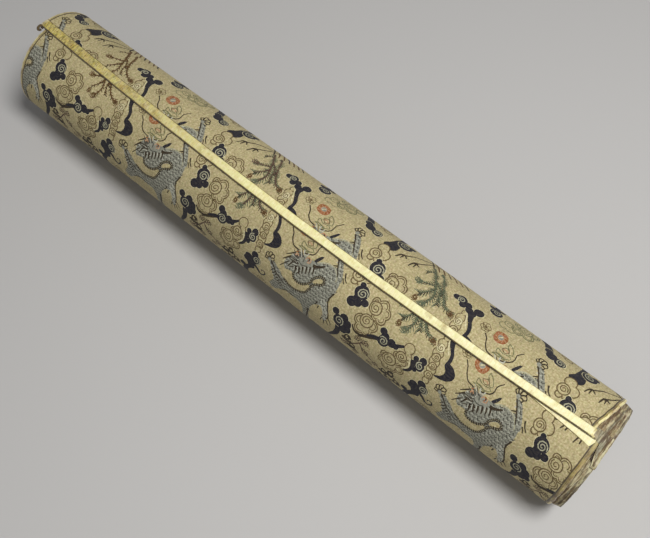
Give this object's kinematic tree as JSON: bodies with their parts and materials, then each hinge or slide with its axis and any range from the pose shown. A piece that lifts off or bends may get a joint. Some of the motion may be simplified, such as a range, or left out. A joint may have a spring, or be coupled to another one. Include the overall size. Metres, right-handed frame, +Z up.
{
  "type": "rolled scroll",
  "caption": "Rolled handscroll lying on its side: a backed paper sheet wound on a wooden rod, with a figured silk cover edged in yellow silk and a batten in its free edge.",
  "frame": {"origin": "on the surface that the scroll lies on, below the middle of the roll", "axes": "+X along the roll towards the end where the wound sheet stands out, +Z up, -Y the side that the cover's free edge faces"},
  "size_m": [0.3385, 0.0544, 0.0552],
  "materials": {
    "brocade": "figured silk, matt with a slight sheen",
    "yellow_silk": "plain silk ribbon, slight sheen",
    "worn_silk": "plain silk ribbon, worn and dull",
    "paper": "aged, matt",
    "wood": "bare, smooth"
  },
  "bodies": {
    "root": {"brocade_cover": "brocade", "left_rim_binding": "worn_silk", "right_rim_binding": "worn_silk", "leading_binding": "yellow_silk", "trailing_binding": "yellow_silk", "leading_batten": "wood", "paper_roll": "paper", "rod": "wood"}
  },
  "joints": []
}
